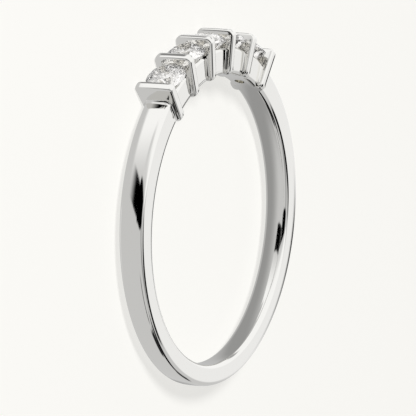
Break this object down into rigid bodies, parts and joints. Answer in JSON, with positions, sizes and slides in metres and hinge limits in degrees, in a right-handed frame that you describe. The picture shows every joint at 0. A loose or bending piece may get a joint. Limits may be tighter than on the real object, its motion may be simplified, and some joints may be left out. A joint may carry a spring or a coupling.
{
  "type": "five-stone diamond band",
  "caption": "Polished white-metal finger ring with a slim plain shank and a row of round brilliants held between upright bars.",
  "frame": {"origin": "centre of the finger hole, halfway through its width", "axes": "+Z along the finger, up when the ring lies on its side; +Y from the hole's centre to the middle stone; +X along the row of stones"},
  "size_m": [0.0204, 0.0213, 0.0024],
  "materials": {
    "white_gold": "mirror polished and rhodium plated, with faint polishing lines",
    "diamond": "polished facets, colourless"
  },
  "bodies": {
    "root": {"band": "white_gold", "stone_1": "diamond", "stone_2": "diamond", "stone_3": "diamond", "stone_4": "diamond", "stone_5": "diamond"}
  },
  "joints": []
}
